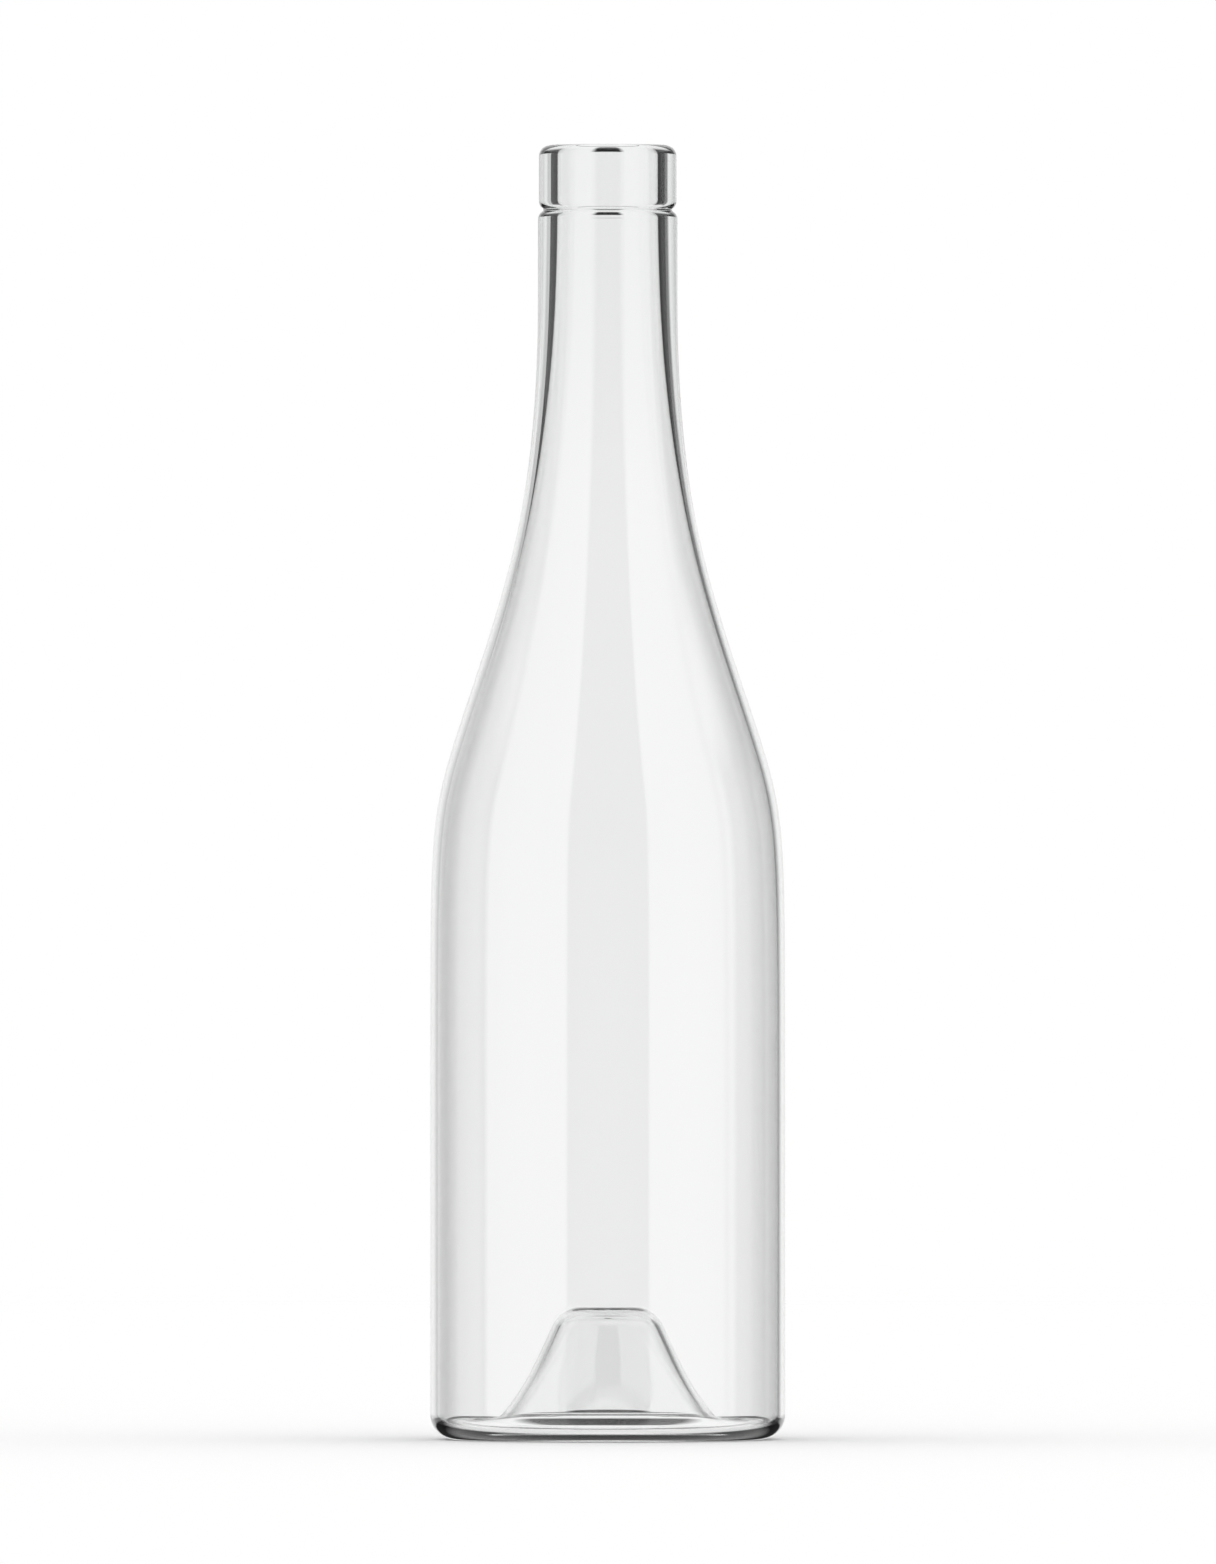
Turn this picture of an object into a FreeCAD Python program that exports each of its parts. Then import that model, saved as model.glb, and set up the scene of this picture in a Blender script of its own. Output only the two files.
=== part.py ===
"""Wine bottle of clear glass, one blown piece: finish, neck, sloping shoulder, body and punt.

Millimetres, +Z up, origin at the centre of the base, on the plane that the bottle stands on.
The glass is one closed outline in the XZ plane, turned about Z.
"""
import FreeCAD, Part
import math
import os

# Overall sizes
HEIGHT = 296.0              # standing plane to the top of the mouth
BODY_DIAMETER = 81.2
NECK_DIAMETER = 31.9
FINISH_DIAMETER = 31.5      # band round the mouth
BORE_DIAMETER = 23.0        # straight hole at the mouth

# Glass, measured square to the surface
WALL = 1.6                  # side of the straight body
SHOULDER_WALL = 1.87
BASE_THICKNESS = 2.4        # floor inside, above the standing plane
PUNT_WALL = 1.6             # cones of the punt
PUNT_TOP_THICKNESS = 1.6

# Finish and groove
LIP_RADIUS = 2.7            # outer edge of the mouth
MOUTH_RADIUS = 1.2          # inner edge of the mouth
GROOVE_DROP = 14.85         # top of the mouth to the middle of the groove
GROOVE_DEPTH = 1.0          # below the smaller of the band and the neck
GROOVE_ROOT_RADIUS = 0.45
GROOVE_SHOULDER_RADIUS = 2.0
EDGE_SHARE = 0.9            # most of the lip's width that its two rounded edges may take

# Outer outline between neck and body: one smooth sweep
NECK_STRAIGHT = 32.0        # top of the mouth down to the start of the sweep
BODY_STRAIGHT = 88.6        # standing plane up to the end of the sweep
SWEEP_SHARES = (0.0, 0.057, 0.310, 0.655, 0.751, 1.0)

# Inner outline: it follows the outer one, and the glass between them thickens upwards
BORE_STRAIGHT = 11.0        # top of the mouth down to where the bore starts to widen
NECK_WALL_RUN = 80.0        # from there down to where the neck's glass is as thin as the shoulder's
SHOULDER_WALL_RUN = 60.0    # from the straight body up to where the glass is as thick as the shoulder's
INNER_STEP = 8.0            # height between the points that the inner outline passes through

# Base
HEEL_RADIUS = 5.7           # outer edge of the base
FOOT_RING = 8.3             # end of the heel's arc to where the punt's lower cone meets the plane
FOOT_RADIUS = 13.5          # inner edge of the standing ring
RING_SHARE = 0.8            # most of the foot ring that its inner edge may take
FLOOR_EDGE_RADIUS = 3.4     # floor to side wall, inside
FLOOR_RADIUS = 11.0         # floor to punt, inside

# Punt: a bell of two cones that meet in a long curve, the waist
PUNT_DEPTH = 28.6           # standing plane to the top of the hollow
PUNT_TOP_DIAMETER = 19.3    # where the hollow's upper cone meets its flat top
PUNT_CROWN_RADIUS = 5.5     # edge of the flat top, in the hollow
WAIST_HEIGHT_SHARE = 0.398  # of the punt's depth, from the plane up to where the cones meet
WAIST_WIDTH_SHARE = 0.475   # of the way out from the top's edge to the foot
WAIST_RADIUS = 60.0         # curve between the two cones, in the hollow
WAIST_SHARE = 0.55          # most of the lower cone's length that this curve may take
PIN_MARK_RADIUS = 1.0       # small dimple in the middle of the hollow's top
PIN_MARK_DEPTH = 0.4


def at(radius, height):
    """Point of the outline at a radius from the axis and a height."""
    return FreeCAD.Vector(radius, 0.0, height)


def line(start, end):
    """Straight edge between two points."""
    return Part.LineSegment(start, end).toShape()


def arc(start, centre, end):
    """Edge along the shorter arc about a centre, from start to end."""
    middle_way = (start - centre) + (end - centre)
    middle_way.normalize()
    middle = centre + middle_way * (start - centre).Length
    return Part.Arc(start, middle, end).toShape()


def half_turn_tangent(before, corner, after):
    """Tangent of half the angle by which the outline turns at a corner."""
    turn = (corner - before).getAngle(after - corner)
    return math.tan(turn / 2.0)


def rounded_run(start, corners, end):
    """Edges from start to end, with each (corner, radius) rounded by a tangent arc."""
    points = [start] + [corner for corner, radius in corners] + [end]
    edges = []
    reached = start
    for index, (corner, radius) in enumerate(corners, start=1):
        before = points[index - 1]
        after = points[index + 1]
        reach = radius * half_turn_tangent(before, corner, after)
        way_in = (corner - before).normalize()
        way_out = (after - corner).normalize()
        arc_start = corner - way_in * reach
        arc_end = corner + way_out * reach
        inward = (way_out - way_in).normalize()
        centre = corner + inward * math.hypot(radius, reach)
        edges.append(line(reached, arc_start))
        edges.append(arc(arc_start, centre, arc_end))
        reached = arc_end
    edges.append(line(reached, end))
    return edges


def sweep(upper, lower):
    """Smooth cubic curve from the upper point to the lower one, upright at both ends.

    Its first three control points lie on the upper point's radius and its last three on the
    lower point's, each at its share of the height between the two points.
    """
    drop = upper.z - lower.z
    radii = [upper.x] * 3 + [lower.x] * 3
    poles = [at(radius, upper.z - share * drop) for radius, share in zip(radii, SWEEP_SHARES)]
    curve = Part.BSplineCurve()
    curve.buildFromPolesMultsKnots(poles, (4, 1, 1, 4), (0.0, 1.0, 2.0, 3.0), False, 3)
    return curve


def ease(share):
    """Smooth step from 0 to 1, level at both ends."""
    share = min(1.0, max(0.0, share))
    return share * share * (3.0 - 2.0 * share)


def wall_at(height, neck_wall):
    """Thickness of the glass beside the outer outline at a height."""
    thin_end = HEIGHT - BORE_STRAIGHT - NECK_WALL_RUN
    shoulder_share = ease((height - BODY_STRAIGHT) / SHOULDER_WALL_RUN)
    wall = WALL + (SHOULDER_WALL - WALL) * shoulder_share
    neck_share = ease((height - thin_end) / NECK_WALL_RUN)
    return wall + (neck_wall - wall) * neck_share


def inner_side(outer_sweep, upper, lower, neck_wall):
    """Smooth edge down the inside, from the straight bore to the straight body.

    It passes through points that lie the glass's thickness inside the outer outline: first
    beside the straight neck, then beside the sweep.
    """
    neck_end = outer_sweep.StartPoint
    points = [upper]
    neck_steps = max(1, round((upper.z - neck_end.z) / INNER_STEP))
    for step in range(1, neck_steps):
        height = upper.z + (neck_end.z - upper.z) * step / neck_steps
        points.append(at(neck_end.x - wall_at(height, neck_wall), height))
    sweep_steps = max(2, round((neck_end.z - lower.z) / INNER_STEP))
    for step in range(sweep_steps):
        parameter = outer_sweep.parameterAtDistance(outer_sweep.length() * step / sweep_steps)
        outside = outer_sweep.value(parameter)
        along = outer_sweep.tangent(parameter)[0]
        inwards = at(along.z, -along.x)
        points.append(outside + inwards * wall_at(outside.z, neck_wall))
    points.append(lower)
    curve = Part.BSplineCurve()
    down = at(0.0, -1.0)
    curve.interpolate(Points=points, InitialTangent=down, FinalTangent=down)
    return curve.toShape()


def groove(finish_radius, neck_radius, height):
    """Groove between band and neck: two rounded shoulders that meet in a small round root.

    Returns the edges from the neck up to the band, and their two end points.
    """
    root_radius = min(finish_radius, neck_radius) - GROOVE_DEPTH
    root_centre = at(root_radius + GROOVE_ROOT_RADIUS, height)
    reach = GROOVE_SHOULDER_RADIUS + GROOVE_ROOT_RADIUS

    def shoulder_centre(side_radius, sign):
        radius = side_radius - GROOVE_SHOULDER_RADIUS
        rise = math.sqrt(reach ** 2 - (root_centre.x - radius) ** 2)
        return at(radius, height + sign * rise)

    lower = shoulder_centre(neck_radius, -1)
    upper = shoulder_centre(finish_radius, 1)
    share = GROOVE_ROOT_RADIUS / reach
    lower_touch = root_centre + (lower - root_centre) * share
    upper_touch = root_centre + (upper - root_centre) * share
    neck_end = at(neck_radius, lower.z)
    finish_end = at(finish_radius, upper.z)
    edges = [
        arc(neck_end, lower, lower_touch),
        arc(lower_touch, root_centre, upper_touch),
        arc(upper_touch, upper, finish_end),
    ]
    return edges, neck_end, finish_end


class OuterCone:
    """Cone on the wine's side of the punt, the glass's thickness outside one of the hollow's."""

    def __init__(self, low, high):
        """Take the lower and the upper end of the hollow's cone."""
        self.lean = (low.x - high.x) / (high.z - low.z)
        self.plane_radius = low.x + self.lean * low.z + PUNT_WALL * math.hypot(1.0, self.lean)

    def at_height(self, height):
        """Point of this cone at a height."""
        return at(self.plane_radius - self.lean * height, height)

    def meeting(self, upper):
        """Point where this cone meets the one above it."""
        return self.at_height((self.plane_radius - upper.plane_radius) / (self.lean - upper.lean))


def pin_mark():
    """Shallow round dimple on the axis, at the top of the hollow under the base."""
    middle = at(0.0, PUNT_DEPTH + PIN_MARK_DEPTH)
    edge = at(PIN_MARK_RADIUS, PUNT_DEPTH)
    radius = (PIN_MARK_RADIUS ** 2 + PIN_MARK_DEPTH ** 2) / (2.0 * PIN_MARK_DEPTH)
    return arc(middle, middle - at(0.0, radius), edge), middle, edge


def outline():
    """Edges of the glass's half section, in order, closed along the axis."""
    body = BODY_DIAMETER / 2.0
    neck = NECK_DIAMETER / 2.0
    finish = FINISH_DIAMETER / 2.0
    bore = BORE_DIAMETER / 2.0
    cavity = body - WALL

    # Underside and heel
    punt_foot = at(body - HEEL_RADIUS - FOOT_RING, 0.0)
    punt_top = at(PUNT_TOP_DIAMETER / 2.0, PUNT_DEPTH)
    waist_width = punt_top.x + WAIST_WIDTH_SHARE * (punt_foot.x - punt_top.x)
    waist = at(waist_width, WAIST_HEIGHT_SHARE * PUNT_DEPTH)
    dimple, dimple_middle, dimple_edge = pin_mark()
    heel = at(body, 0.0)
    body_end = at(body, BODY_STRAIGHT)
    lower_cone_share = WAIST_SHARE * waist.distanceToPoint(punt_foot)
    waist_radius = min(WAIST_RADIUS, lower_cone_share / half_turn_tangent(punt_top, waist, punt_foot))
    foot_radius = min(FOOT_RADIUS, RING_SHARE * FOOT_RING / half_turn_tangent(waist, punt_foot, heel))
    edges = [dimple]
    edges += rounded_run(
        dimple_edge,
        [
            (punt_top, PUNT_CROWN_RADIUS),
            (waist, waist_radius),
            (punt_foot, foot_radius),
            (heel, HEEL_RADIUS),
        ],
        body_end)

    # Shoulder, neck and groove
    neck_start = at(neck, HEIGHT - NECK_STRAIGHT)
    groove_edges, neck_end, finish_end = groove(finish, neck, HEIGHT - GROOVE_DROP)
    outer_sweep = sweep(neck_start, body_end)
    edges.append(outer_sweep.toShape())
    edges.append(line(neck_start, neck_end))
    edges += groove_edges

    # Mouth: both edges shrink together where the lip is too narrow for them
    fit = min(1.0, EDGE_SHARE * (finish - bore) / (LIP_RADIUS + MOUTH_RADIUS))
    bore_end = at(bore, HEIGHT - BORE_STRAIGHT)
    edges += rounded_run(
        finish_end,
        [(at(finish, HEIGHT), LIP_RADIUS * fit), (at(bore, HEIGHT), MOUTH_RADIUS * fit)],
        bore_end)

    # Inside: both cones of the punt run parallel to the hollow's
    cavity_start = at(cavity, BODY_STRAIGHT)
    edges.append(inner_side(outer_sweep, bore_end, cavity_start, neck - bore))
    lower_cone = OuterCone(punt_foot, waist)
    upper_cone = OuterCone(waist, punt_top)
    crown_height = PUNT_DEPTH + PUNT_TOP_THICKNESS
    axis_top = at(0.0, crown_height)
    edges += rounded_run(
        cavity_start,
        [
            (at(cavity, BASE_THICKNESS), FLOOR_EDGE_RADIUS),
            (lower_cone.at_height(BASE_THICKNESS), FLOOR_RADIUS),
            (lower_cone.meeting(upper_cone), waist_radius - PUNT_WALL),
            (upper_cone.at_height(crown_height), PUNT_CROWN_RADIUS + PUNT_TOP_THICKNESS),
        ],
        axis_top)
    edges.append(line(axis_top, dimple_middle))
    return edges


def bottle():
    """The whole bottle as one solid."""
    face = Part.Face(Part.Wire(Part.__sortEdges__(outline())))
    solid = face.revolve(FreeCAD.Vector(0, 0, 0), FreeCAD.Vector(0, 0, 1), 360)
    if solid.Volume < 0:
        solid.reverse()
    return solid


def main():
    os.makedirs("parts", exist_ok=True)
    shape = bottle()
    shape.exportStep("parts/bottle.step")
    print("bottle: valid", shape.isValid(), "volume", round(shape.Volume, 1), "mm3")


main()
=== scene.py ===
"""Looks of an empty wine bottle of clear glass, standing in a bright studio.

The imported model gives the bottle's place and size. The glass is turned here as one dense smooth
mesh, because light bends through it and shows every facet of a coarser one.
"""

import logging
import math
from dataclasses import dataclass

import bpy
import numpy as np
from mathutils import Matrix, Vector

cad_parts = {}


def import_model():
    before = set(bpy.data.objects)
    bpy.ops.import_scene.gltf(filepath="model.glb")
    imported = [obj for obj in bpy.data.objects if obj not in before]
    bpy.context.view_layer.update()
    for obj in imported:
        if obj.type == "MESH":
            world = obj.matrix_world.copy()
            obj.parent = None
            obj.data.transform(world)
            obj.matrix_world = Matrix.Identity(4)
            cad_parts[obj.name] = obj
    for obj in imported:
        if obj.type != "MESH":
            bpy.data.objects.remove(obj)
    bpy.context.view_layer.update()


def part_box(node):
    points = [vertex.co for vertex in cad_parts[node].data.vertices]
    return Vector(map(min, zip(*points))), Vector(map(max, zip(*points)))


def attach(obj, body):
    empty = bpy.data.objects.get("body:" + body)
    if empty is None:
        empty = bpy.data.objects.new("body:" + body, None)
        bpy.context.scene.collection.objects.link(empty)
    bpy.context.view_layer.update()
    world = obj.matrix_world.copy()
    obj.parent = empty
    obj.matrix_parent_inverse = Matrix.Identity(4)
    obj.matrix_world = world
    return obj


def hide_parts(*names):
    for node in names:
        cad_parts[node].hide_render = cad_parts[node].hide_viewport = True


LOG = logging.getLogger("wine_bottle")
MM = 0.001
SAME_PLACE = 1e-6
NODE = "bottle"
BODY = "root"


def linear(code: str) -> tuple[float, float, float, float]:
    """Turn an sRGB hex colour into linear RGBA.

    Args:
        code: Six hex digits, with or without a leading hash.

    Returns:
        Red, green, blue and an alpha of 1, as shader sockets take them.
    """
    digits = code.lstrip("#")
    channels = [int(digits[i:i + 2], 16) / 255.0 for i in (0, 2, 4)]
    low = [c / 12.92 if c <= 0.04045 else ((c + 0.055) / 1.055) ** 2.4 for c in channels]
    return low[0], low[1], low[2], 1.0


def add_node(tree: bpy.types.NodeTree, kind: str, settings: dict | None = None,
             links: dict | None = None) -> bpy.types.Node:
    """Add a node with its settings and links.

    Args:
        tree: Node tree that gets the node.
        kind: Name of the node's type.
        settings: Property names and values; a key that names or numbers an input sets that input.
        links: Input name or number to the output socket that feeds it.

    Returns:
        The new node.
    """
    node = tree.nodes.new(kind)
    for key, value in (settings or {}).items():
        if isinstance(key, int) or key in node.inputs:
            node.inputs[key].default_value = value
        else:
            setattr(node, key, value)
    for key, output in (links or {}).items():
        tree.links.new(output, node.inputs[key])
    return node


def ease(share: np.ndarray | float) -> np.ndarray | float:
    """Return a smooth step from 0 to 1, level at both ends."""
    share = np.clip(share, 0.0, 1.0)
    return share * share * (3.0 - 2.0 * share)


# ---------------------------------------------------------------------------------------------
# Turning
# ---------------------------------------------------------------------------------------------


class HalfSection:
    """Outline of a turned piece in millimetres: points (radius, height) and where each faces.

    It runs with the solid on its left, so a surface faces to the right of the way it runs.
    """

    def __init__(self, arc_step: float, line_step: float) -> None:
        """Start an empty outline.

        Args:
            arc_step: Largest turn between two points of an arc, in degrees.
            line_step: Longest stretch between two points of a straight run, in millimetres.
        """
        self.arc_step = math.radians(arc_step)
        self.line_step = line_step
        self.points: list[np.ndarray] = []
        self.facings: list[np.ndarray] = []

    def add(self, point: np.ndarray, facing: np.ndarray) -> None:
        """Add one point, unless the outline is already there."""
        if self.points and np.linalg.norm(point - self.points[-1]) < SAME_PLACE:
            return
        self.points.append(point)
        self.facings.append(facing / np.linalg.norm(facing))

    def line(self, start: np.ndarray, end: np.ndarray) -> None:
        """Run straight from start to end."""
        way = end - start
        length = np.linalg.norm(way)
        if length < SAME_PLACE:
            return
        facing = np.array([way[1], -way[0]])
        steps = max(1, math.ceil(length / self.line_step))
        for step in range(steps + 1):
            self.add(start + way * step / steps, facing)

    def arc(self, start: np.ndarray, centre: np.ndarray, end: np.ndarray) -> None:
        """Run along the shorter arc about a centre, from start to end."""
        from_angle = math.atan2(*(start - centre)[::-1])
        turn = math.atan2(*(end - centre)[::-1]) - from_angle
        turn = (turn + math.pi) % (2.0 * math.pi) - math.pi
        radius = np.linalg.norm(start - centre)
        steps = max(2, math.ceil(abs(turn) / self.arc_step))
        for step in range(steps + 1):
            angle = from_angle + turn * step / steps
            ray = np.array([math.cos(angle), math.sin(angle)])
            self.add(centre + radius * ray, ray * math.copysign(1.0, turn))

    def curve(self, points: np.ndarray) -> None:
        """Run along a smooth curve given by closely spaced points."""
        ways = np.gradient(points, axis=0, edge_order=2)
        for point, way in zip(points, ways):
            self.add(point, np.array([way[1], -way[0]]))

    def rounded_run(self, start: np.ndarray, corners: list[tuple[np.ndarray, float]],
                    end: np.ndarray) -> None:
        """Run straight between corners, each rounded by its own tangent arc.

        Args:
            start: First point.
            corners: Each corner's place and radius.
            end: Last point.
        """
        places = [start] + [place for place, _ in corners] + [end]
        reached = start
        for index, (corner, radius) in enumerate(corners, start=1):
            way_in = unit(corner - places[index - 1])
            way_out = unit(places[index + 1] - corner)
            reach = radius * half_turn_tangent(way_in, way_out)
            centre = corner + unit(way_out - way_in) * math.hypot(radius, reach)
            arc_start = corner - way_in * reach
            self.line(reached, arc_start)
            reached = corner + way_out * reach
            self.arc(arc_start, centre, reached)
        self.line(reached, end)


def unit(way: np.ndarray) -> np.ndarray:
    """Return a vector's direction with a length of 1."""
    return way / np.linalg.norm(way)


def half_turn_tangent(way_in: np.ndarray, way_out: np.ndarray) -> float:
    """Return the tangent of half the angle between two directions."""
    turn = math.acos(float(np.clip(np.dot(way_in, way_out), -1.0, 1.0)))
    return math.tan(turn / 2.0)


def clamped_cubic(poles: np.ndarray, samples: int) -> np.ndarray:
    """Sample a cubic B-spline that starts and ends at its outer poles.

    Args:
        poles: Control points, one a row.
        samples: Number of points wanted.

    Returns:
        The points, one a row, from the first pole to the last.
    """
    degree = 3
    spans = len(poles) - degree
    knots = np.concatenate([[0] * degree, np.arange(spans + 1), [spans] * degree]).astype(float)
    result = []
    for t in np.linspace(0.0, spans, samples):
        k = min(int(t), spans - 1) + degree
        row = [poles[i].astype(float) for i in range(k - degree, k + 1)]
        for level in range(1, degree + 1):
            for j in range(degree, level - 1, -1):
                i = j + k - degree
                share = (t - knots[i]) / (knots[i + degree + 1 - level] - knots[i])
                row[j] = (1.0 - share) * row[j - 1] + share * row[j]
        result.append(row[degree])
    return np.array(result)


class Lathe:
    """Turns a half section into a closed mesh about the Z axis."""

    def __init__(self, segments: int) -> None:
        """Set how many facets go round the piece."""
        self.segments = segments

    def turn(self, name: str, section: HalfSection) -> bpy.types.Object:
        """Make the mesh object.

        Args:
            name: Name of the object and its mesh.
            section: Outline from axis to axis.

        Returns:
            The object, in metres, linked into the scene.
        """
        angles = np.linspace(0.0, 2.0 * math.pi, self.segments, endpoint=False)
        round_about = np.stack([np.cos(angles), np.sin(angles)], axis=1)
        vertices: list[tuple[float, float, float]] = []
        normals: list[tuple[float, float, float]] = []
        rings: list[list[int]] = []
        for (radius, height), (out, up) in zip(section.points, section.facings):
            on_axis = radius < SAME_PLACE
            turns = np.array([[1.0, 0.0]]) if on_axis else round_about
            first = len(vertices)
            for c, s in turns:
                vertices.append((radius * c * MM, radius * s * MM, height * MM))
                normals.append((0.0, 0.0, math.copysign(1.0, up)) if on_axis else (out * c, out * s, up))
            rings.append(list(range(first, len(vertices))))
        faces = [face for low, high in zip(rings, rings[1:]) for face in self.band(low, high)]
        mesh = bpy.data.meshes.new(name)
        mesh.from_pydata(vertices, [], faces)
        mesh.update()
        mesh.shade_smooth()
        mesh.normals_split_custom_set_from_vertices(normals)
        piece = bpy.data.objects.new(name, mesh)
        bpy.context.scene.collection.objects.link(piece)
        return piece

    def band(self, low: list[int], high: list[int]) -> list[tuple[int, ...]]:
        """Return the faces between two rings, either of which may be a single point."""
        faces: list[tuple[int, ...]] = []
        for i in range(self.segments):
            j = (i + 1) % self.segments
            if len(low) == 1:
                faces.append((low[0], high[j], high[i]))
            elif len(high) == 1:
                faces.append((low[i], low[j], high[0]))
            else:
                faces.append((low[i], low[j], high[j], high[i]))
        return faces


# ---------------------------------------------------------------------------------------------
# The bottle
# ---------------------------------------------------------------------------------------------


@dataclass(frozen=True)
class FlintGlass:
    """Colourless soda-lime glass, blown in a mould and fire polished.

    Its skin is as smooth as a lens, so it shows sharp mirror images and clear bent ones. A trace
    of iron greys it with a little green, and only where the eye looks along the wall.
    """

    name: str = "soda_lime_glass_blown_fire_polished"
    ior: float = 1.52
    roughness: float = 0.0
    tint: str = "#FFFFFF"
    body_colour: str = "#E5E9E7"
    density: float = 40.0

    def material(self) -> bpy.types.Material:
        """Return the glass material."""
        material = bpy.data.materials.new(self.name)
        material.use_nodes = True
        tree = material.node_tree
        tree.nodes.clear()
        skin = add_node(tree, "ShaderNodeBsdfPrincipled", {
            "Base Color": linear(self.tint),
            "Roughness": self.roughness,
            "IOR": self.ior,
            "Transmission Weight": 1.0,
        })
        inside = add_node(tree, "ShaderNodeVolumeAbsorption", {
            "Color": linear(self.body_colour),
            "Density": self.density,
        })
        add_node(tree, "ShaderNodeOutputMaterial", links={
            "Surface": skin.outputs["BSDF"],
            "Volume": inside.outputs["Volume"],
        })
        return material


@dataclass(frozen=True)
class GlassBottle:
    """The bottle's glass: sizes in millimetres and the outline that they make."""

    height: float
    body_diameter: float
    neck_diameter: float = 31.9
    finish_diameter: float = 31.5
    bore_diameter: float = 23.0
    wall: float = 1.6
    shoulder_wall: float = 1.87
    base_thickness: float = 2.4
    punt_wall: float = 1.6
    punt_top_thickness: float = 1.6
    lip_radius: float = 2.7
    mouth_radius: float = 1.2
    groove_drop: float = 14.85
    groove_depth: float = 1.0
    groove_root_radius: float = 0.45
    groove_shoulder_radius: float = 2.0
    neck_straight: float = 32.0
    body_straight: float = 88.6
    sweep_shares: tuple[float, ...] = (0.0, 0.057, 0.310, 0.655, 0.751, 1.0)
    bore_straight: float = 11.0
    neck_wall_run: float = 80.0
    shoulder_wall_run: float = 60.0
    heel_radius: float = 5.7
    foot_ring: float = 8.3
    foot_radius: float = 13.5
    floor_edge_radius: float = 3.4
    floor_radius: float = 11.0
    punt_depth: float = 28.6
    punt_top_diameter: float = 19.3
    punt_crown_radius: float = 5.5
    waist_height_share: float = 0.398
    waist_width_share: float = 0.475
    waist_radius: float = 60.0
    pin_mark_radius: float = 1.0
    pin_mark_depth: float = 0.4
    arc_step: float = 4.0
    line_step: float = 9.0
    neck_samples: int = 12
    pin_mark_samples: int = 9
    sweep_samples: int = 64
    segments: int = 240

    @staticmethod
    def at(radius: float, height: float) -> np.ndarray:
        """Return a point of the outline."""
        return np.array([radius, height])

    def outer_sweep(self) -> np.ndarray:
        """Return points up the outside, from the straight body to the straight neck."""
        top = self.height - self.neck_straight
        run = top - self.body_straight
        radii = [self.neck_diameter / 2.0] * 3 + [self.body_diameter / 2.0] * 3
        poles = [self.at(radius, top - share * run) for radius, share in zip(radii, self.sweep_shares)]
        return clamped_cubic(np.array(poles), self.sweep_samples)[::-1]

    def wall_at(self, heights: np.ndarray) -> np.ndarray:
        """Return the glass's thickness, square to the outer surface, at each height."""
        thin_end = self.height - self.bore_straight - self.neck_wall_run
        neck_wall = (self.neck_diameter - self.bore_diameter) / 2.0
        lower = self.wall + (self.shoulder_wall - self.wall) * ease(
            (heights - self.body_straight) / self.shoulder_wall_run)
        return lower + (neck_wall - lower) * ease((heights - thin_end) / self.neck_wall_run)

    def inner_side(self, outer: np.ndarray) -> np.ndarray:
        """Return points down the inside, the glass's thickness within the outer outline."""
        bore_end = self.height - self.bore_straight
        neck_start = outer[-1][1]
        beside_neck = np.linspace(bore_end, neck_start, self.neck_samples, endpoint=False)
        neck = np.full_like(beside_neck, self.neck_diameter / 2.0)
        upper = np.stack([neck - self.wall_at(beside_neck), beside_neck], axis=1)
        ways = np.gradient(outer, axis=0, edge_order=2)
        ways /= np.linalg.norm(ways, axis=1)[:, None]
        inwards = np.stack([-ways[:, 1], ways[:, 0]], axis=1)
        lower = outer + inwards * self.wall_at(outer[:, 1])[:, None]
        return np.concatenate([upper, lower[::-1]])

    def pin_mark(self, section: HalfSection) -> None:
        """Draw the shallow dimple in the middle of the hollow's top."""
        radii = np.linspace(0.0, self.pin_mark_radius, self.pin_mark_samples)
        rise = self.pin_mark_depth * (1.0 - ease(radii / self.pin_mark_radius))
        section.curve(np.stack([radii, self.punt_depth + rise], axis=1))

    def groove(self, section: HalfSection) -> np.ndarray:
        """Draw the groove from the neck up to the band.

        Args:
            section: Outline so far, up to the straight neck.

        Returns:
            The point where the band's straight side starts.
        """
        neck = self.neck_diameter / 2.0
        finish = self.finish_diameter / 2.0
        root = self.at(min(neck, finish) - self.groove_depth + self.groove_root_radius,
                       self.height - self.groove_drop)
        reach = self.groove_shoulder_radius + self.groove_root_radius
        centres = []
        for side, sign in ((neck, -1.0), (finish, 1.0)):
            radius = side - self.groove_shoulder_radius
            rise = math.sqrt(reach ** 2 - (root[0] - radius) ** 2)
            centres.append(self.at(radius, root[1] + sign * rise))
        lower, upper = centres
        touches = [root + (centre - root) * self.groove_root_radius / reach for centre in centres]
        neck_end = self.at(neck, lower[1])
        finish_end = self.at(finish, upper[1])
        section.line(section.points[-1], neck_end)
        section.arc(neck_end, lower, touches[0])
        section.arc(touches[0], root, touches[1])
        section.arc(touches[1], upper, finish_end)
        return finish_end

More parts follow.
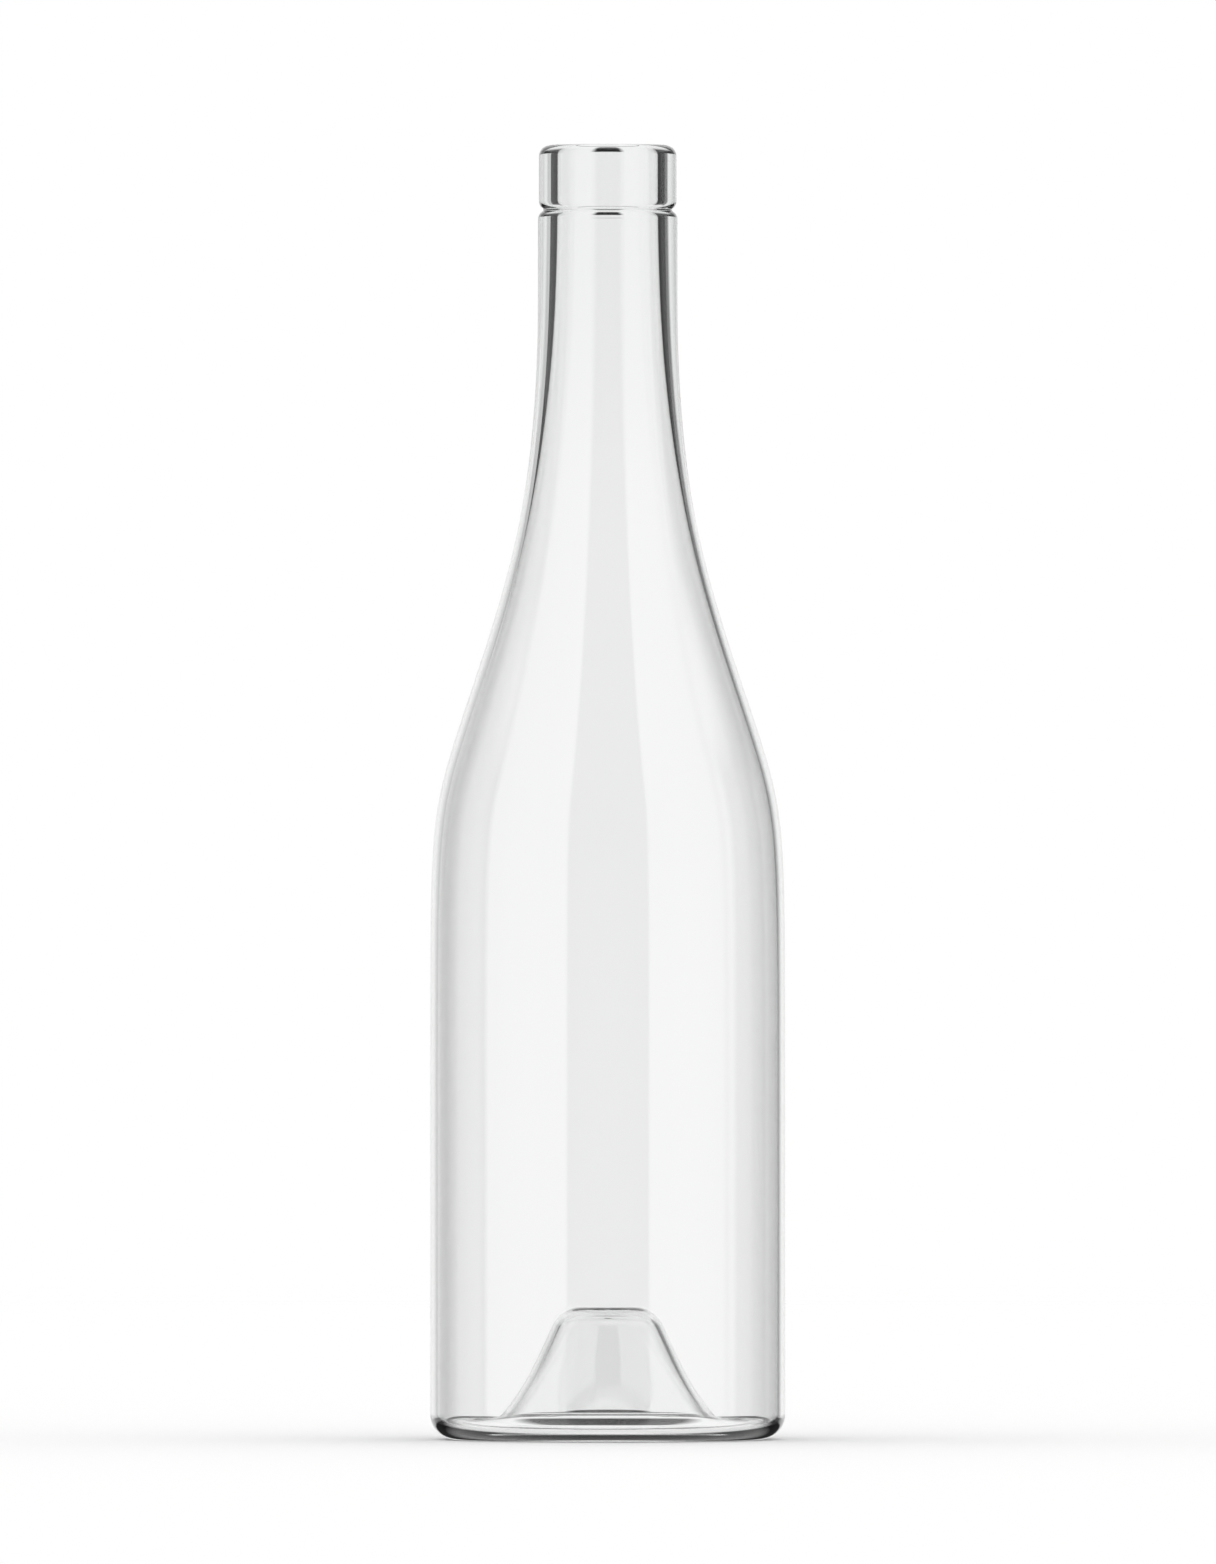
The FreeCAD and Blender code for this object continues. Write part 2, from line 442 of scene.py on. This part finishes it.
    def section(self) -> HalfSection:
        """Draw the whole half section, from the axis under the punt to the axis above it."""
        body = self.body_diameter / 2.0
        bore = self.bore_diameter / 2.0
        finish = self.finish_diameter / 2.0
        cavity = body - self.wall
        section = HalfSection(self.arc_step, self.line_step)
        self.pin_mark(section)
        punt_foot = self.at(body - self.heel_radius - self.foot_ring, 0.0)
        punt_top = self.at(self.punt_top_diameter / 2.0, self.punt_depth)
        waist_width = punt_top[0] + self.waist_width_share * (punt_foot[0] - punt_top[0])
        waist = self.at(waist_width, self.waist_height_share * self.punt_depth)
        section.rounded_run(section.points[-1], [
            (punt_top, self.punt_crown_radius),
            (waist, self.waist_radius),
            (punt_foot, self.foot_radius),
            (self.at(body, 0.0), self.heel_radius),
        ], self.at(body, self.body_straight))
        outer = self.outer_sweep()
        section.curve(outer)
        band_start = self.groove(section)
        bore_end = self.at(bore, self.height - self.bore_straight)
        section.rounded_run(band_start, [
            (self.at(finish, self.height), self.lip_radius),
            (self.at(bore, self.height), self.mouth_radius),
        ], bore_end)
        section.curve(self.inner_side(outer))
        crown = self.punt_depth + self.punt_top_thickness
        lower_lean, lower_radius = self.outer_cone(punt_foot, waist)
        upper_lean, upper_radius = self.outer_cone(waist, punt_top)
        meeting = (lower_radius - upper_radius) / (lower_lean - upper_lean)
        section.rounded_run(self.at(cavity, self.body_straight), [
            (self.at(cavity, self.base_thickness), self.floor_edge_radius),
            (self.at(lower_radius - lower_lean * self.base_thickness, self.base_thickness),
             self.floor_radius),
            (self.at(lower_radius - lower_lean * meeting, meeting),
             self.waist_radius - self.punt_wall),
            (self.at(upper_radius - upper_lean * crown, crown),
             self.punt_crown_radius + self.punt_top_thickness),
        ], self.at(0.0, crown))
        return section

    def outer_cone(self, low: np.ndarray, high: np.ndarray) -> tuple[float, float]:
        """Find the cone that lies the glass's thickness outside one of the hollow's.

        Args:
            low: Lower end of the hollow's cone.
            high: Its upper end.

        Returns:
            How far the cone leans in for each millimetre up, and its radius on the table.
        """
        lean = (low[0] - high[0]) / (high[1] - low[1])
        return lean, low[0] + lean * low[1] + self.punt_wall * math.hypot(1.0, lean)

    def build(self, finish: FlintGlass) -> bpy.types.Object:
        """Turn the glass and dress it.

        Args:
            finish: The glass that it is blown from.

        Returns:
            The bottle's one piece.
        """
        piece = Lathe(self.segments).turn("bottle_glass", self.section())
        piece.data.materials.append(finish.material())
        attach(piece, BODY)
        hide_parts(NODE)
        return piece


# ---------------------------------------------------------------------------------------------
# The studio
# ---------------------------------------------------------------------------------------------


@dataclass(frozen=True)
class Card:
    """One evenly lit patch of the studio, as seen from the bottle.

    Angles are in degrees: azimuth from the front, positive to the right, and over 180 past the
    back; elevation from level. The soft widths are those of its upright and its level edges.
    """

    name: str
    azimuth: tuple[float, float]
    elevation: tuple[float, float]
    brightness: float
    soft_sides: float = 1.5
    soft_ends: float = 2.0

    def paint(self, tree: bpy.types.NodeTree, azimuth: bpy.types.NodeSocket,
              elevation: bpy.types.NodeSocket,
              behind: float | bpy.types.NodeSocket) -> bpy.types.NodeSocket:
        """Lay the card over what is behind it.

        Args:
            tree: Node tree that gets the card's nodes.
            azimuth: Output that holds the ray's azimuth, in radians.
            elevation: Output that holds its elevation, in radians.
            behind: Brightness behind the card: one number, or the output that holds it.

        Returns:
            The output that holds the brightness with the card in front.
        """
        from_middle = add_node(tree, "ShaderNodeMath", {
            "operation": "SUBTRACT",
            1: math.radians(sum(self.azimuth) / 2.0),
        }, {0: azimuth})
        sideways = add_node(tree, "ShaderNodeMath", {"operation": "PINGPONG", 1: math.pi},
                            {0: from_middle.outputs[0]})
        from_level = add_node(tree, "ShaderNodeMath", {
            "operation": "SUBTRACT",
            1: math.radians(sum(self.elevation) / 2.0),
        }, {0: elevation})
        upwards = add_node(tree, "ShaderNodeMath", {"operation": "ABSOLUTE"}, {0: from_level.outputs[0]})
        cover = add_node(tree, "ShaderNodeMath", {"operation": "MULTIPLY"}, {
            0: self.inside(tree, sideways.outputs[0], self.azimuth, self.soft_sides),
            1: self.inside(tree, upwards.outputs[0], self.elevation, self.soft_ends),
        })
        settings = {"data_type": "FLOAT", "label": self.name, 3: self.brightness}
        links = {0: cover.outputs[0]}
        if isinstance(behind, float):
            settings[2] = behind
        else:
            links[2] = behind
        return add_node(tree, "ShaderNodeMix", settings, links).outputs[0]

    @staticmethod
    def inside(tree: bpy.types.NodeTree, offset: bpy.types.NodeSocket, ends: tuple[float, float],
               soft: float) -> bpy.types.NodeSocket:
        """Return 1 within the card's half width, falling to 0 over its soft edge."""
        half = (ends[1] - ends[0]) / 2.0
        share = add_node(tree, "ShaderNodeMapRange", {
            "From Min": math.radians(half + soft / 2.0),
            "From Max": math.radians(half - soft / 2.0),
        }, {"Value": offset})
        return share.outputs[0]


@dataclass(frozen=True)
class Surroundings:
    """White studio round the table, built from cards laid one over the other.

    Light that has met a mirror image on or in the glass comes from anywhere in the room. Light
    that only bends on its way through comes from the bright backdrop, with one dark strip low
    behind the bottle. That strip is a painted shadow, standing in for the bottle's own shadow on the
    table. The lip and the groove bend light down to this painted shadow and show it as two short dark
    bars.
    From straight ahead and 9 to 22 degrees up, though, the painted shadow shows through the whole
    bottle.
    """

    room: float = 0.05
    backdrop: float = 1.0
    mirrored: tuple[Card, ...] = (
        Card("table", (-200.0, 200.0), (-100.0, -24.0), 0.9, soft_ends=10.0),
        Card("ceiling", (-200.0, 200.0), (22.0, 100.0), 0.9, soft_ends=6.0),
        Card("backdrop_right", (142.0, 180.0), (-9.0, 26.0), 0.2),
        Card("backdrop_left", (180.0, 218.5), (-9.0, 26.0), 0.62),
        Card("backdrop_centre", (154.0, 204.0), (-9.0, 26.0), 1.0, soft_sides=8.0),
        Card("wall_left", (-118.0, -88.0), (-20.0, 26.0), 0.4),
        Card("camera_side", (-92.5, 92.5), (-72.0, 62.0), 0.05),
        Card("softbox_left", (-87.5, -27.5), (-62.0, 70.0), 0.5),
        Card("softbox_right", (27.5, 92.5), (-62.0, 70.0), 0.8),
    )
    through: tuple[Card, ...] = (
        # Painted shadow: this dark strip low behind the bottle stands in for the bottle's own shadow on
        # the table, seen only through the glass.
        Card("painted_shadow_behind", (176.4, 183.6), (-22.5, -8.5), 0.02),
    )
    plain_strength: float = 1.0

    def build(self, scene: bpy.types.Scene) -> None:
        """Make the world that lights the bottle and stands behind it."""
        world = bpy.data.worlds.new("studio_surroundings")
        scene.world = world
        world.use_nodes = True
        tree = world.node_tree
        tree.nodes.clear()
        way = add_node(tree, "ShaderNodeTexCoord")
        axes = add_node(tree, "ShaderNodeSeparateXYZ", links={0: way.outputs["Generated"]})
        towards_back = add_node(tree, "ShaderNodeMath", {"operation": "MULTIPLY", 1: -1.0},
                                {0: axes.outputs["Y"]})
        azimuth = add_node(tree, "ShaderNodeMath", {"operation": "ARCTAN2"},
                           {0: axes.outputs["X"], 1: towards_back.outputs[0]})
        elevation = add_node(tree, "ShaderNodeMath", {"operation": "ARCSINE"}, {0: axes.outputs["Z"]})
        angles = (azimuth.outputs[0], elevation.outputs[0])
        mirrored = self.lay(tree, angles, self.room, self.mirrored)
        through = self.lay(tree, angles, self.backdrop, self.through)
        path = add_node(tree, "ShaderNodeLightPath")
        has_mirror = add_node(tree, "ShaderNodeMath", {"operation": "GREATER_THAN", 1: 0.5},
                              {0: path.outputs["Glossy Depth"]})
        plain_or_through = add_node(tree, "ShaderNodeMix", {
            "data_type": "FLOAT",
            2: self.plain_strength,
        }, {0: path.outputs["Is Transmission Ray"], 3: through})
        strength = add_node(tree, "ShaderNodeMix", {"data_type": "FLOAT"}, {
            0: has_mirror.outputs[0],
            2: plain_or_through.outputs[0],
            3: mirrored,
        })
        light = add_node(tree, "ShaderNodeBackground", {"Color": (1.0, 1.0, 1.0, 1.0)},
                         {"Strength": strength.outputs[0]})
        add_node(tree, "ShaderNodeOutputWorld", links={"Surface": light.outputs[0]})

    @staticmethod
    def lay(tree: bpy.types.NodeTree, angles: tuple[bpy.types.NodeSocket, bpy.types.NodeSocket],
            ground: float, cards: tuple[Card, ...]) -> bpy.types.NodeSocket:
        """Lay cards over an even ground, the first lowest.

        Args:
            tree: Node tree that gets their nodes.
            angles: Outputs that hold the ray's azimuth and elevation, in radians.
            ground: Brightness where no card lies.
            cards: The cards, from the lowest to the one on top.

        Returns:
            The output that holds the brightness.
        """
        brightness: float | bpy.types.NodeSocket = ground
        for card in cards:
            brightness = card.paint(tree, *angles, brightness)
        return brightness


@dataclass(frozen=True)
class Table:
    """Plain white table that the bottle stands on. It fades out before its edge would show."""

    radius: float = 3.0
    fade_start: float = 1.2
    fade_end: float = 2.4
    drop: float = 0.00005
    colour: str = "#FFFFFF"

    def build(self, scene: bpy.types.Scene) -> bpy.types.Object:
        """Make the table top, apart from the bottle."""
        corners = [(x * self.radius, y * self.radius, -self.drop)
                   for x, y in ((-1.0, -1.0), (1.0, -1.0), (1.0, 1.0), (-1.0, 1.0))]
        mesh = bpy.data.meshes.new("table_top")
        mesh.from_pydata(corners, [], [(0, 1, 2, 3)])
        table = bpy.data.objects.new("table_top", mesh)
        scene.collection.objects.link(table)
        mesh.materials.append(self.material())
        table.visible_transmission = False
        table.visible_glossy = False
        return table

    def material(self) -> bpy.types.Material:
        """Return matt white laminate, which turns clear towards the table's edge."""
        material = bpy.data.materials.new("white_laminate_matt")
        material.use_nodes = True
        tree = material.node_tree
        tree.nodes.clear()
        place = add_node(tree, "ShaderNodeNewGeometry")
        distance = add_node(tree, "ShaderNodeVectorMath", {"operation": "LENGTH"},
                            {0: place.outputs["Position"]})
        fade = add_node(tree, "ShaderNodeMapRange", {
            "interpolation_type": "SMOOTHSTEP",
            "From Min": self.fade_start,
            "From Max": self.fade_end,
        }, {"Value": distance.outputs["Value"]})
        matt = add_node(tree, "ShaderNodeBsdfDiffuse", {"Color": linear(self.colour)})
        clear = add_node(tree, "ShaderNodeBsdfTransparent")
        skin = add_node(tree, "ShaderNodeMixShader", links={
            0: fade.outputs[0],
            1: matt.outputs[0],
            2: clear.outputs[0],
        })
        add_node(tree, "ShaderNodeOutputMaterial", links={"Surface": skin.outputs[0]})
        return material


@dataclass(frozen=True)
class LongLens:
    """Camera level with the middle of the bottle, far off, so that the outline stays square on."""

    distance: float = 7.7
    eye_height: float = 0.1503
    side_step: float = 0.00006
    field_height: float = 0.3577
    sensor: float = 36.0
    clip_start: float = 0.1
    clip_end: float = 60.0

    def build(self, scene: bpy.types.Scene) -> bpy.types.Object:
        """Make the camera and hand it to the scene."""
        data = bpy.data.cameras.new("long_lens")
        data.sensor_width = self.sensor
        data.lens = self.sensor * self.distance / self.field_height
        data.clip_start = self.clip_start
        data.clip_end = self.clip_end
        camera = bpy.data.objects.new("long_lens", data)
        camera.location = (self.side_step, -self.distance, self.eye_height)
        camera.rotation_euler = (math.pi / 2.0, 0.0, 0.0)
        scene.collection.objects.link(camera)
        scene.camera = camera
        return camera


def main() -> None:
    """Build the bottle and its studio."""
    logging.basicConfig(level=logging.INFO, format="%(name)s: %(message)s")
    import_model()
    scene = bpy.context.scene
    scene.view_settings.view_transform = "Standard"

    low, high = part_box(NODE)
    bottle = GlassBottle(height=(high.z - low.z) / MM, body_diameter=(high.x - low.x) / MM)
    piece = bottle.build(FlintGlass())
    LOG.info("%s: %d faces, %.1f mm tall", piece.name, len(piece.data.polygons), bottle.height)

    Surroundings().build(scene)
    table = Table().build(scene)
    camera = LongLens().build(scene)
    LOG.info("stage: %s, camera %s with a %.0f mm lens", table.name, camera.name, camera.data.lens)


if __name__ == "__main__":
    main()
